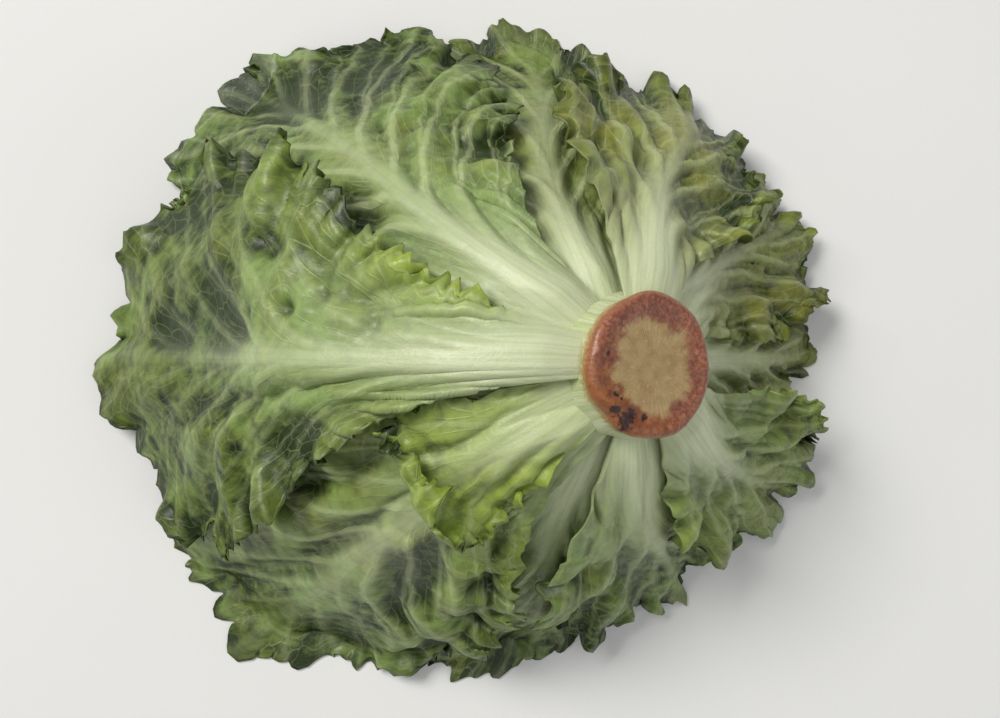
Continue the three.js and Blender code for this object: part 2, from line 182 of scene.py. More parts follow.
class Looks:
    """A material and short ways to add and join its nodes."""

    def __init__(self, name, tree=None):
        self.material = bpy.data.materials.new(name) if tree is None else None
        if tree is None:
            self.material.use_nodes = True
            tree = self.material.node_tree
        self.tree = tree
        self.skin = tree.nodes.get("Principled BSDF")

    def add(self, kind, inputs=(), **settings):
        node = self.tree.nodes.new("ShaderNode" + kind)
        for name, value in settings.items():
            setattr(node, name, value)
        for name, value in dict(inputs).items():
            self.feed(value, node.inputs[name])
        return node

    def feed(self, value, socket):
        if isinstance(value, bpy.types.NodeSocket):
            self.tree.links.new(value, socket)
        else:
            socket.default_value = value

    def mask(self, name):
        return self.add("Attribute", attribute_name=name).outputs["Fac"]

    def vectors(self, name):
        return self.add("Attribute", attribute_name=name).outputs["Vector"]

    def math(self, kind, a, b=0.0, clamp=False):
        return self.add("Math", {0: a, 1: b}, operation=kind, use_clamp=clamp).outputs[0]

    def plus(self, a, b, clamp=False):
        return self.math("ADD", a, b, clamp)

    def times(self, a, b, clamp=False):
        return self.math("MULTIPLY", a, b, clamp)

    def blend(self, share, a, b):
        node = self.add("Mix", data_type="RGBA")
        self.feed(share, node.inputs[0])
        self.feed(a, node.inputs[6])
        self.feed(b, node.inputs[7])
        return node.outputs[2]

    def range(self, value, low, high, to_low=0.0, to_high=1.0):
        names = {"Value": value, "From Min": low, "From Max": high, "To Min": to_low, "To Max": to_high}
        return self.add("MapRange", names, interpolation_type="SMOOTHSTEP").outputs[0]

    def noise(self, where, scale, detail=3.0, roughness=0.5):
        names = {"Vector": where, "Scale": scale, "Detail": detail, "Roughness": roughness}
        return self.add("TexNoise", names).outputs[0]

    def set_skin(self, **values):
        """Sets the skin's own sockets, each the same all over."""
        for name, value in values.items():
            self.skin.inputs[name.replace("_", " ")].default_value = value


browned = Looks("browned stalk")
where = browned.add("TexCoord").outputs["Object"]
coarse = browned.noise(where, 210, 4)
fine = browned.noise(where, 900, 3)
fibres = browned.noise(browned.vectors("fibre"), 1.6, 3, 0.6)
across = browned.plus(browned.mask("across"), browned.range(coarse, 0.3, 0.7, -0.08, 0.08))
across = browned.plus(across, browned.range(fibres, 0.3, 0.7, -0.025, 0.025))
across = browned.plus(across, browned.range(fine, 0.3, 0.7, -0.02, 0.02))
pith = browned.blend(browned.range(coarse, 0.35, 0.7), colour(190, 162, 112), colour(172, 140, 90))
pith = browned.blend(browned.range(fine, 0.55, 0.8), pith, colour(206, 184, 140))
brown = browned.blend(browned.range(fine, 0.35, 0.7), colour(148, 82, 52), colour(186, 124, 88))
brown = browned.blend(browned.range(coarse, 0.45, 0.65, 0, 0.6), brown, colour(108, 52, 40))
brown = browned.blend(browned.range(fibres, 0.5, 0.75, 0, 0.55), brown, colour(176, 122, 92))
purple = browned.blend(browned.range(fine, 0.35, 0.7), colour(124, 66, 50), colour(166, 108, 86))
brown = browned.blend(browned.times(browned.mask("bruise"), 0.75, True), brown, purple)
orange = browned.blend(browned.range(coarse, 0.4, 0.65), colour(166, 100, 42), colour(128, 66, 24))
brown = browned.blend(browned.times(browned.mask("amber"), 0.85, True), brown, orange)
cut_colour = browned.blend(browned.range(across, 0.55, 0.72), pith, brown)
wall = browned.plus(browned.mask("across"), browned.range(fine, 0.3, 0.7, -0.012, 0.012))
cut_colour = browned.blend(browned.range(wall, 0.9, 1.0, 0, 0.55), cut_colour, colour(166, 104, 62))
cut_colour = browned.blend(browned.range(wall, 1.0, 1.04, 0, 0.9), cut_colour, colour(188, 150, 96))
green_white = browned.blend(browned.range(fibres, 0.35, 0.7), colour(216, 222, 180), colour(180, 196, 134))
cut_colour = browned.blend(browned.range(wall, 1.035, 1.075), cut_colour, green_white)
burnt = browned.plus(browned.mask("spots"), browned.range(fine, 0.3, 0.7, -0.25, 0.25))
cut_colour = browned.blend(browned.range(burnt, 0.25, 0.75), cut_colour, colour(52, 24, 16))
browned.feed(cut_colour, browned.skin.inputs["Base Color"])
browned.feed(browned.range(across, 0.5, 0.8, 0.28, 0.46), browned.skin.inputs["Roughness"])
height = browned.plus(browned.plus(coarse, fibres), browned.times(fine, 0.4))
bump = browned.add("Bump", {"Height": height, "Strength": 0.5, "Distance": 0.0006})
browned.feed(bump.outputs[0], browned.skin.inputs["Normal"])
browned.set_skin(Subsurface_Weight=0.25, Subsurface_Radius=(1.0, 0.55, 0.3), Subsurface_Scale=0.003)
browned.set_skin(Coat_Weight=0.35, Coat_Roughness=0.18)
stem.data.materials.append(browned.material)
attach(stem, "root")
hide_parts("stem")

# The outer leaves: eleven broad green blades, each grown from the stalk on a fleshy white
# base. They lie over one another like nested hats, ribs outward, with ruffled and toothed
# margins, and the sunken places between their veins carry painted shade.
FIRST_ROOT, ROOTED_LENGTH, ROOT_GAP = 9.0, 58.0, 0.8
CROWN = np.array([-4.96, -4.79, 0.0])
RIM_MEAN, RIM_LEAN, RIM_OVAL, RIM_SIDE, RIM_HEIGHT = 121.0, -53.5, 14.0, 6.5, 5.0
HEART_RIM_SHARE, NESTING = 0.16, 1.1
OUTER_OPENING, INNER_OPENING = math.radians(64), math.radians(16)
BLADE, RIB_HALF_WIDTH, FOLD, CLEARANCE = 0.9, 12.0, 5.0, 0.5
ROUNDING, LOBE, BLADE_MIDDLE = 0.36, 0.035, 0.45
PRESSING, SPLAY, ROLL_RADIUS, ROLL_LIMIT = 3.0, 0.7, 6.5, 2.2
LEVEL_STEP, GOLDEN_TURN, FULL_LENGTH = 0.085, 137.5, 105
# The margin's parts: how far apart they come along it, how high they are, and how deep a
# band of the blade they take up.
NOTCH_STEP, NOTCH_HEIGHT = 15, 1.5
TOOTH_STEP, TOOTH_HEIGHT = 6.4, 3.0
TEAR_STEP, TEAR_HEIGHT, TEAR_MIDDLE, TEAR_SPAN, TEAR_CURL = 5.6, 7, 0.2, 0.12, 2.5
FRILL_WAVE, FRILL_REACH = 42.0, 24.0
RUFFLE_WAVE, RUFFLE_HEIGHT, RUFFLE_REACH, RUFFLE_SLIDE = 17, 4.2, 10, 1.25
CRIMP_WAVE, CRIMP_HEIGHT, CRIMP_REACH = 7.3, 1.3, 5
CURL_REACH = 7.5
# The veins and what lies between them: spacing, and how far each stands out or in.
VEIN_STEP, VEIN_RISE, POCKET_LENGTH, POCKET_DEPTH = 21.0, 1.3, 13, 1.8
PIT_STEP, PIT_DEPTH, SWELL, FOLD_DEPTH = 8, 0.9, 4.0, 3.5
# The deep folds between the leaves, sunk in and painted with shade: place on the table and size.
SHADED_FOLDS = (
    (-29, 92, 13), (-54, 85, 12), (-30, 44, 9), (10, 66, 6), (-12, -71, 12), (61, -70, 13),
    (47, -104, 10), (-64, 62, 7), (78, 46, 7), (-78, 22, 11), (-74, 6, 10), (-97, 7, 9),
    (-61, 34, 6), (-49, 12, 3.5), (-38, 15, 3.5), (-22, 6, 3.5), (-46, -28, 8),
)


def between(a, b, share):
    return a + (b - a) * share


def unit(vectors):
    return vectors / np.maximum(np.linalg.norm(vectors, axis=-1), 1e-9)[..., None]


def hat(turn, reach, layer):
    """Points of one of the nested hats that the leaves lie in, from root at reach 0 to rim at 1."""
    turn, reach = np.broadcast_arrays(np.asarray(turn, float), np.asarray(reach, float))
    depth = FIRST_ROOT + ROOTED_LENGTH * layer
    aside = sideways(turn)
    root = CUT_CENTRE - depth * STEM_OUT + aside * (stem_radius(depth - 6) + ROOT_GAP)
    radius = RIM_MEAN + RIM_LEAN * np.cos(turn) + RIM_SIDE * np.sin(turn) + RIM_OVAL * np.cos(2 * turn)
    rim = CUT_CENTRE + np.stack([radius * np.cos(turn), radius * np.sin(turn), 0 * turn], -1)
    rim = between(rim, CROWN, (1 - HEART_RIM_SHARE) * layer**NESTING)
    rim[..., 2] = RIM_HEIGHT
    opening = between(OUTER_OPENING, INNER_OPENING, layer**0.8)
    chord = np.linalg.norm(root - rim, axis=-1)[..., None]
    first = root + 0.44 * chord * (aside * math.sin(opening) - STEM_OUT * math.cos(opening))
    second = between(root, rim, between(0.74, 0.8, layer))
    second[..., 2] += between(0.03, -0.08, layer) * chord[..., 0]
    r = reach[..., None]
    point = (1 - r) ** 3 * root + 3 * (1 - r) ** 2 * r * first + 3 * (1 - r) * r**2 * second + r**3 * rim
    broad = np.sin(3 * turn + 0.6) + 0.7 * np.sin(5 * turn + 2.1 + reach)
    point[..., 2] += FOLD * broad * reach**2 * (1 - 0.5 * layer)
    return point


def half_width(leaf, along):
    root = leaf["clasp"] * stem_radius(FIRST_ROOT + ROOTED_LENGTH * leaf["layer"])
    return between(root, leaf["width"] / 2, np.sin(math.pi / 2 * np.minimum(1, along / 0.76)) ** 1.5)


def middle(leaf, along):
    return leaf["turn"] + leaf["bend"] * along**2


def half_turn(leaf, along):
    """The angle that half a leaf's width takes up at a share of its length."""
    offset = hat(middle(leaf, along), leaf["reach"] * along, leaf["layer"]) - CUT_CENTRE
    offset = offset - (offset @ STEM_OUT)[..., None] * STEM_OUT
    return half_width(leaf, along) / np.maximum(np.linalg.norm(offset, axis=-1), 1)


def room(leaf, leaves, turn, reach, side):
    """How many layers of room a place has before the next leaf out, or in with side 1."""
    least = np.full(turn.shape, 0.35)
    for other in leaves:
        apart = (other["layer"] - leaf["layer"]) * side
        if apart <= 0:
            continue
        along = np.minimum(1, reach / other["reach"])
        swing = turn - middle(other, along)
        aside = np.abs(np.arctan2(np.sin(swing), np.cos(swing))) - 1.3 * half_turn(other, along)
        beyond = np.maximum(0, aside) + 2 * np.maximum(0, reach / other["reach"] - 1.08)
        least = np.minimum(least, apart + 0.35 * beyond)
    return least


def margin_place(x, y, half_wide, length):
    """Distance along the margin, from the tip's middle to where the ray through a place ends."""
    tip = (1 - BLADE_MIDDLE) * length
    ahead = (y > 0) & (np.abs(x) * tip < y * half_wide)
    level = np.maximum(y * half_wide / np.maximum(np.abs(x), 1e-6), -BLADE_MIDDLE * length)
    return np.where(ahead, x / np.where(ahead, y, 1) * tip, np.sign(x) * (half_wide + tip - level))


def outward(points):
    """The direction out of the head at each point of a leaf's grid."""
    return unit(np.cross(np.gradient(points, axis=0), np.gradient(points, axis=1)))


def blisters(x, y, seed):
    """Rounded cells about a unit wide, 1 in their middles and 0 along the seams."""
    jitter = np.random.default_rng(seed).uniform(0.1, 0.9, (61, 61, 2))
    i, j = np.floor(x).astype(int), np.floor(y).astype(int)
    near = []
    for a in (-1, 0, 1):
        for b in (-1, 0, 1):
            spot = jitter[(i + a) % 61, (j + b) % 61]
            near.append(np.hypot(i + a + spot[..., 0] - x, j + b + spot[..., 1] - y))
    near = np.sort(np.stack(near), axis=0)
    return 1 - (1 - np.clip((near[1] - near[0]) / 0.55, 0, 1)) ** 2


def dots(x, y, seed):
    """Scattered round spots, about one to a unit, 1 in the middle of the strongest."""
    rng = np.random.default_rng(seed)
    jitter, strength = rng.uniform(0.2, 0.8, (61, 61, 2)), rng.uniform(-0.6, 1.0, (61, 61))
    i, j = np.floor(x).astype(int), np.floor(y).astype(int)
    most = np.zeros(x.shape)
    for a in (-1, 0, 1):
        for b in (-1, 0, 1):
            spot = jitter[(i + a) % 61, (j + b) % 61]
            far = np.hypot(i + a + spot[..., 0] - x, j + b + spot[..., 1] - y)
            most = np.maximum(most, strength[(i + a) % 61, (j + b) % 61] * np.exp(-((far / 0.33) ** 2)))
    return most


def spikes(x):
    """A row of pointed teeth, one to a unit."""
    return (1 - np.abs(2 * (x % 1) - 1)) ** 1.8


def band(distance, reach, power):
    """1 at the margin, fading over a band of the blade that is this deep."""
    return np.exp(-((distance / reach) ** power))


def soft_limit(height, low, high):
    """Eases a height off so that it stays within its room on either side."""
    out = high * np.tanh(height / np.maximum(high, 0.05))
    return np.where(height > 0, out, -low * np.tanh(-height / np.maximum(low, 0.05)))


def rolled(leaf, turn, reach):
    """Points of a leaf whose tip, past its roll line, bends round outwards over itself."""
    line = leaf["reach"] * leaf["roll"]
    start = hat(turn, line + 0 * reach, leaf["layer"])
    step = hat(turn, line + 0.01 + 0 * reach, leaf["layer"]) - start
    across = hat(turn + 0.02, line + 0 * reach, leaf["layer"]) - start
    beyond = np.maximum(0, reach - line) / 0.01 * np.linalg.norm(step, axis=-1)
    rise = unit(np.cross(step, across))
    tight = ROLL_RADIUS * (1 + 0.25 * np.sin(5 * turn))
    point = start + (tight * np.sin(beyond / tight))[..., None] * unit(step)
    point = point + (tight * (1 - np.cos(beyond / tight)))[..., None] * rise
    return np.where((reach > line)[..., None], point, hat(turn, reach, leaf["layer"]))


def leaf_piece(leaf, leaves, name, columns, rows):
    """One leaf: its shaped blade as a closed sheet, with the masks that its material reads."""
    j, i = np.meshgrid(np.arange(rows + 1), np.arange(columns + 1), indexing="ij")
    seed, layer, number = leaf["seed"], leaf["layer"], leaf["number"]
    even = 2 * i / columns - 1
    along, side = 1 - (1 - j / rows) ** 1.15, 1.2 * even - 0.2 * even**3
    wide, half = leaf["width"] / 2, half_width(leaf, along)
    length = leaf["reach"] * np.linalg.norm(hat(leaf["turn"], 0, layer) - hat(leaf["turn"], 1, layer))
    x, y = side * half, along * length
    place = margin_place(side * wide, (along - BLADE_MIDDLE) * length, wide, length)
    ahead = np.maximum(0, (along - BLADE_MIDDLE) / (1 - BLADE_MIDDLE))
    edge = np.maximum(np.abs(side), ahead)
    grown = np.minimum(1, 2 * along) ** 2
    lively = np.clip(3.5 * along - 0.2, 0, 1)

    # The outline: broad lobes, small notches and pointed teeth.
    phase = 2 * math.pi * place / FRILL_WAVE
    lobe = 1 + LOBE * edge**4 * grown * np.sin(phase + 5 * seed)
    notches = NOTCH_HEIGHT * np.sin(2 * math.pi * place / NOTCH_STEP + 2 * waves(place / 25, 0, number))
    teeth = TOOTH_HEIGHT * spikes(place / TOOTH_STEP + 0.9 * waves(place / 11, 3, number))
    teeth *= 0.65 + 0.35 * waves(place / 8, 7, number)
    lobe = lobe + (notches + teeth - 1) * leaf["teeth"] / wide * edge**10 * lively
    torn = leaf["torn"] * np.exp(-(((along - TEAR_MIDDLE) / TEAR_SPAN) ** 4)) * (side < 0)
    tear = spikes(y / TEAR_STEP + 0.4 * waves(y / 7, 9, number)) * (0.7 + 0.3 * waves(y / 6, 2, number))
    lobe = lobe + torn * TEAR_HEIGHT * tear / np.maximum(half, 8) * np.abs(side) ** 5
    forward = ahead * np.sqrt(1 - ROUNDING * side**2) * lobe
    reached = np.minimum(along, BLADE_MIDDLE) + (1 - BLADE_MIDDLE) * forward
    reach = leaf["reach"] * reached
    lobe = lobe * np.where(side > 0, between(leaf["trim"], 1, reached), 1)
    swing = side * half_turn(leaf, reached) * np.sqrt(1 - ROUNDING * ahead**2) * lobe
    turn = middle(leaf, reached) + swing

    # The plain blade on its hat, and its room to the leaves outside and inside it.
    plain = rolled(leaf, turn, reach) if leaf["roll"] else hat(turn, reach, layer)
    plain[..., 2] -= leaf["droop"] * (along * (1 - 0.5 * side**2)) ** 8
    normal = outward(plain)
    inward = (hat(turn, reach, layer + 0.02) - hat(turn, reach, layer)) / 0.02
    gap = np.abs((inward * normal).sum(-1))
    high = np.maximum(0, 0.5 * gap * room(leaf, leaves, turn, reach, -1) - BLADE - CLEARANCE)
    low = np.maximum(0, 0.5 * gap * room(leaf, leaves, turn, reach, 1) - CLEARANCE)
    if leaf["roll"]:
        high, low = [np.where(along > leaf["roll"] - 0.05, ROLL_LIMIT, limit) for limit in (high, low)]
    splay = SPLAY * np.maximum(0, -plain[..., 2]) / np.hypot(normal[..., 0], normal[..., 1])
    plain[..., :2] += splay[..., None] * normal[..., :2]

    # The margin: a broad frill, tighter ruffles and crimps, and a curl away from the head.
    small = min(1, length / FULL_LENGTH)
    to_margin = np.minimum((1 - np.abs(side)) * half, (1 - along) * length) / small
    outer = np.minimum(1, 1.3 * np.hypot(side, 1.4 * np.maximum(0, along - 0.4)))
    frill = leaf["frill"] * band(to_margin, FRILL_REACH, 1.3) * grown * outer * np.sin(phase + 7 * seed)
    wave = 2 * math.pi * place / RUFFLE_WAVE + 2.2 * waves(place / 33, 1, number) + to_margin / 9
    near = band(to_margin, RUFFLE_REACH, 1.5) * lively * outer
    ruffle = RUFFLE_HEIGHT * small * near * np.sin(wave) * (0.75 + 0.35 * waves(place / 22, 8, number))
    crimp = np.sin(2 * math.pi * place / CRIMP_WAVE + 3 * waves(place / 16, 5, number))
    ruffle += CRIMP_HEIGHT * band(to_margin, CRIMP_REACH, 1.5) * lively * outer * crimp
    curl = leaf["curl"] * small * band(to_margin, CURL_REACH, 1.4) * lively
    curl = curl * (0.55 + 0.6 * waves(place / 30, 4, number))
    curl = (curl + TEAR_CURL * torn * band(to_margin, 6, 2)) * outer
    share_side = side**2 / np.maximum(side**2 + ahead**2, 1e-6)
    down, across = unit(np.gradient(plain, axis=0)), unit(np.gradient(plain, axis=1))
    margin_way = (1 - share_side)[..., None] * across - (np.sign(side) * share_side)[..., None] * down
    slide = -RUFFLE_SLIDE * near * np.sin(2 * wave)

    # The veins: a midrib, and branches that leave it at a sharp angle and fork.
    from_rib = np.abs(x)
    rib = np.exp(-((from_rib / (leaf["midrib"] * (1 - along) ** 1.3 + 1.0)) ** 1.7))
    rib = rib * (1 - 0.45 * along) * (1 - 0.7 * np.clip((along - 0.5) / 0.35, 0, 1))
    wander = 5.5 * waves(x / 30, y / 26, number + 40) + 1.6 * waves(x / 10, y / 10, number + 41)
    branch = (y - 6.2 * from_rib**0.68 + wander) / VEIN_STEP + 0.5 * (side > 0) + 3 * seed
    fork = branch - 0.5 * np.clip((from_rib - 11) / 24, 0, 1) ** 0.8
    lean = 1 / np.sqrt(1 + (4.2 * np.maximum(from_rib, 1.5) ** -0.32) ** 2)
    across_vein = VEIN_STEP * lean / (1.0 + 1.3 * (1 - np.abs(side)) * (1 - 0.5 * along))
    vein = np.exp(-((np.abs(branch % 1 - 0.5) * across_vein) ** 2))
    forked = 0.75 * np.clip((from_rib - 9) / 8, 0, 1)
    vein = np.maximum(vein, forked * np.exp(-((np.abs(fork % 1 - 0.5) * across_vein / 0.75) ** 2)))
    veined = np.clip(from_rib / 5, 0, 1) * (1 - 0.55 * edge) * np.clip(4 * along - 0.2, 0, 1)
    vein *= veined

    # Between the veins: sunken pockets, pits, pleats near the base, swellings and deep folds.
    warp = 0.5 * waves(x / 14, y / 14, number + 60)
    outwards = from_rib / POCKET_LENGTH + warp + 5 + 20 * (side > 0)
    cells = np.stack([branch * 1.6 + warp + 20, outwards, 0 * x + number], -1)
    puff = blisters(cells[..., 0], cells[..., 1], number + 80)
    puff *= (0.62 + 0.5 * waves(x / 19, y / 19, number + 70)) * np.clip(from_rib / 4, 0, 1)
    puff *= (1 - vein) * (1 - rib) * np.clip(2.6 * along - 0.15, 0, 1)
    pits = dots(x / PIT_STEP + 30, y / PIT_STEP + 5, number + 90)
    pits = pits * np.clip(3 * along - 0.6, 0, 1) * (1 - rib)
    pleat = np.sin(2 * math.pi * (2.3 * side + 0.4 * waves(side * 2, along * 2, number)) + 9 * seed)
    pleat *= leaf["pleats"] * np.clip(3 * along, 0, 1) * np.clip(1.6 - 1.3 * along, 0, 1) * (1 - rib)
    swell = SWELL * waves(x / 34 + 7, y / 40, number + 20) * np.clip(2.4 * along - 0.1, 0, 1)
    # The deep folds are sunk into the blade, and they also carry painted shade through the hollow mask
    # below.
    fold = np.zeros(side.shape)
    for fold_x, fold_y, size in SHADED_FOLDS:
        apart = (plain[..., 0] - fold_x) ** 2 + (plain[..., 1] - fold_y) ** 2
        fold = fold + np.exp(-((apart / size**2) ** 1.5))
    fold = np.clip(fold, 0, 1) * (1 - rib)
    relief = VEIN_RISE * leaf["veined"] * vein + leaf["ridge"] * rib - PIT_DEPTH * pits
    relief = relief - POCKET_DEPTH * leaf["pockets"] * puff * np.clip(1.3 - edge, 0.3, 1)
    height = frill + ruffle + curl + pleat + small * (swell + relief) - FOLD_DEPTH * fold
    height = soft_limit(height, low, high)
    fleshy = np.exp(-((x / (RIB_HALF_WIDTH * (1.15 - along))) ** 2)) * (1 - along) ** 1.3
    fleshy = np.minimum(leaf["rib"] * fleshy, high) * np.clip(y / 7, 0.1, 1) - 0.35 * band(to_margin, 5, 2)

    # The two faces of the sheet. Its base clasps the stalk, and the table flattens its tip.
    base = np.exp(-((y / 6) ** 2))[..., None]
    plain = plain + base * (1.2 * STEM_OUT - 3.4 * sideways(turn))
    inner = plain + height[..., None] * normal + slide[..., None] * unit(margin_way)
    pressed = np.clip(-inner[..., 2] / PRESSING, 0, 1)
    inner = between(inner, plain, pressed[..., None])
    leaving = outward(inner)
    leaving[..., 2] += pressed
    leaving = unit(leaving)
    lowest = -BLADE * leaving[..., 2] - fleshy * normal[..., 2]
    inner[..., 2] = np.maximum(np.maximum(inner[..., 2], 0), lowest)
    back = inner + BLADE * leaving + fleshy[..., None] * normal

    piece = grid_piece(name, columns, rows)
    flat = np.stack([x, y], -1).reshape(-1, 2) / 100
    corner = np.empty(len(piece.data.loops), np.int32)
    piece.data.loops.foreach_get("vertex_index", corner)
    piece.data.uv_layers[0].data.foreach_set("uv", flat[corner].astype(np.float32).ravel())
    put_vectors(piece, "cells", cells)
    put_vectors(piece, "veins", np.stack([branch, fork, across_vein], -1))
    put_mask(piece, "veined", veined * leaf["veined"])
    put_mask(piece, "rib", np.clip(rib + 0.4 * leaf["veined"] * vein, 0, 1))
    put_mask(piece, "edge", band(to_margin, 7, 1.2))
    put_mask(piece, "root", np.exp(-(((y + 1.1 * from_rib) / leaf["white"]) ** 1.5)))
    put_mask(piece, "tip", np.clip((y + 0.5 * from_rib - 55) / 100, 0, 1))
    # Painted shade: pockets, pits and deep folds are painted darker, and raised ruffles, swellings, pleats
    # and frills a little lighter.
    hollow_shade = 0.75 * leaf["pockets"] * puff + 0.9 * np.clip(pits, 0, 1) + 0.95 * fold
    hollow_shade = hollow_shade - 0.1 * (ruffle + swell + 1.6 * pleat + 0.5 * frill)
    put_mask(piece, "hollow_shade", np.clip(hollow_shade, 0, 1))
    tone = leaf["olive"] + 0.22 * waves(x / 40, y / 40, number + 30)
    put_mask(piece, "tone", np.clip(tone, 0, 1))
    fresh = leaf["fresh"] + 1.2 * torn * edge**3 + 0.5 * near * waves(place / 26, 6, number)
    put_mask(piece, "fresh", np.clip(fresh, 0, 1))
    sheet = piece.modifiers.new("sheet", "SOLIDIFY")
    sheet.thickness, sheet.offset = 0.001 * BLADE, -1
    bpy.ops.object.modifier_apply(modifier=sheet.name)
    assert len(piece.data.vertices) == 2 * (columns + 1) * (rows + 1)
    put_points(piece, np.concatenate([inner.reshape(-1, 3), back.reshape(-1, 3)]))
    bpy.ops.object.shade_smooth()
    return piece


# Each outer leaf by where it grows round the stalk, how far out it lies, and how it differs
# from a usual one.
USUAL = {
    "bend": 0, "droop": 0, "white": 34, "pleats": 1.4, "teeth": 1.0, "frill": 6, "rib": 3.6, "curl": 6,
    "midrib": 6.5, "torn": 0, "fresh": 0, "trim": 1, "roll": 0, "clasp": 0.54, "ridge": 1.4,
    "pockets": 1.1, "veined": 0.8,
}
OUTER = (
    {"turn": 179, "level": 0, "reach": 0.97, "width": 114, "droop": 3, "olive": 0.25, "white": 45,
     "midrib": 7, "torn": 1, "trim": 0.4, "ridge": 0.9, "pockets": 0.7, "veined": 0.45},
    {"turn": 140, "level": 1, "reach": 1.07, "width": 112, "bend": 0.04, "droop": 12, "olive": 0.2,
     "midrib": 4.5, "ridge": 2.6, "veined": 1},
    {"turn": 101, "level": 2, "reach": 1.13, "width": 111, "bend": 0.05, "droop": 4, "olive": 0.5,
     "white": 30, "ridge": 2.0, "pockets": 1.2, "veined": 1},
    {"turn": 72, "level": 0, "reach": 0.95, "width": 96, "bend": 0.02, "olive": 0.75, "pockets": 1.3},
    {"turn": 38, "level": 1, "reach": 1.08, "width": 92, "olive": 0.8},
    {"turn": 2, "level": 2, "reach": 1.1, "width": 88, "droop": 8, "olive": 0.55},
    {"turn": 322, "level": 0, "reach": 0.96, "width": 90, "olive": 0.35},
    {"turn": 288, "level": 1, "reach": 1.07, "width": 96, "bend": -0.03, "olive": 0.3},
    {"turn": 258, "level": 2, "reach": 1.17, "width": 104, "bend": -0.02, "droop": 9, "olive": 0.25},
    {"turn": 213, "level": 0.5, "reach": 0.36, "width": 46, "olive": 0.4, "white": 26, "fresh": 0.55,
     "roll": 0.66, "frill": 3, "curl": 3},
    {"turn": 218, "level": 1, "reach": 1.07, "width": 106, "bend": -0.02, "droop": 8, "olive": 0.25,
     "pleats": 3.4, "clasp": 0.8},
)
# The inner leaves and the heart's belong to this list too, because a leaf's folds take up
# half of the room to its neighbours.
INNER_LEAVES, INNER_FIRST, INNER_LAST = 9, 0.255, 0.83
HEART_LEAVES, HEART_FIRST, HEART_LAST = 6, 0.93, 1.0
leaves = [{**USUAL, **leaf, "layer": leaf["level"] * LEVEL_STEP} for leaf in OUTER]
for k in range(INNER_LEAVES):
    share = k / (INNER_LEAVES - 1)
    leaves.append({
        **USUAL, "turn": 160 + GOLDEN_TURN * k, "bend": 0.08 * math.sin(4 * k),
        "layer": between(INNER_FIRST, INNER_LAST, share), "reach": 0.98 + 0.04 * math.sin(3 * k),
        "width": between(128, 66, share), "rib": between(2.4, 1.2, share), "olive": 0.35, "white": 40,
        "pleats": 0.6, "teeth": 0.9, "curl": 3, "midrib": 6, "fresh": 0.2, "ridge": 1.0, "pockets": 0.9,
    })
for k in range(HEART_LEAVES):
    share = k / (HEART_LEAVES - 1)
    leaves.append({
        **USUAL, "turn": 75 + GOLDEN_TURN * k, "bend": 0.05 * math.sin(3 * k),
        "layer": between(HEART_FIRST, HEART_LAST, share), "reach": between(0.98, 0.85, share),
        "width": between(46, 26, share), "frill": 2, "rib": 0.4, "olive": 0.5, "white": 25,
        "pleats": 0.2, "teeth": 0.5, "curl": 1, "midrib": 4, "fresh": 0.6, "ridge": 0.4,
        "pockets": 0.4, "veined": 0.6,
    })
for k, leaf in enumerate(leaves):
    leaf["turn"] = math.radians(leaf["turn"])
    leaf["seed"], leaf["number"] = 0.618 * k % 1, k

# The finish that every leaf shares. It reads the leaf's own map, 100 mm to a unit, and the
# masks for its ribs, painted hollow shade, margin and base.
skin = bpy.data.node_groups.new("leaf skin", "ShaderNodeTree")
for name in ("Green", "Deep green", "Olive", "Fresh", "Rib"):
    skin.interface.new_socket(name, in_out="INPUT", socket_type="NodeSocketColor")
skin.interface.new_socket("Colour", in_out="OUTPUT", socket_type="NodeSocketColor")
skin.interface.new_socket("Roughness", in_out="OUTPUT", socket_type="NodeSocketFloat")
skin.interface.new_socket("Height", in_out="OUTPUT", socket_type="NodeSocketFloat")
blade = Looks("leaf skin", skin)
given = skin.nodes.new("NodeGroupInput").outputs
shown = skin.nodes.new("NodeGroupOutput").inputs
flat = blade.add("UVMap", uv_map="UVMap").outputs["UV"]
blotch = blade.noise(flat, 4.5, 4)
mottle = blade.noise(flat, 28, 4, 0.6)
speck = blade.noise(flat, 150, 2)
streak = blade.noise(blade.add("Mapping", {"Vector": flat, "Scale": (85.0, 2.5, 1.0)}).outputs[0], 1.0, 3)
from_rib = blade.math("ABSOLUTE", blade.add("SeparateXYZ", {0: flat}).outputs[0])
bare = blade.range(blade.mask("root"), 0.0, 0.6, 1, 0)

# The pale lines: branching veins by the veins' own count, and a net between them.
branch, fork, across_vein = blade.add("SeparateXYZ", {0: blade.vectors("veins")}).outputs
stray = blade.times(blade.range(blade.noise(flat, 9, 1), 0.3, 0.7, -1, 1), 0.05)


def vein_line(place, narrow, wide):
    """A crisp line at the middle of each unit of the veins' own count."""
    off = blade.math("SUBTRACT", blade.math("FRACT", blade.plus(place, stray)), 0.5)
    return blade.range(blade.times(blade.math("ABSOLUTE", off), across_vein), narrow, wide, 1, 0)


forked = blade.times(vein_line(fork, 0.15, 0.6), blade.range(from_rib, 0.1, 0.18, 0, 0.75))
branches = blade.math("MAXIMUM", vein_line(branch, 0.2, 0.75), forked)
branches = blade.times(blade.times(branches, blade.mask("veined")), bare)
net_cells = {"Vector": blade.vectors("cells"), "Scale": 1.9}
net = blade.add("TexVoronoi", net_cells, voronoi_dimensions="2D", feature="DISTANCE_TO_EDGE").outputs[0]
net = blade.times(blade.times(blade.range(net, 0.0, 0.085, 1, 0), 0.19), bare, True)
net = blade.times(net, blade.range(blotch, 0.35, 0.65, 0.4, 1.2))
net = blade.times(net, blade.range(from_rib, 0.015, 0.045))
lines = blade.plus(net, blade.times(branches, 0.42), True)
lines = blade.times(lines, blade.range(blade.mask("tip"), 0.3, 1.0, 1, 0.6))
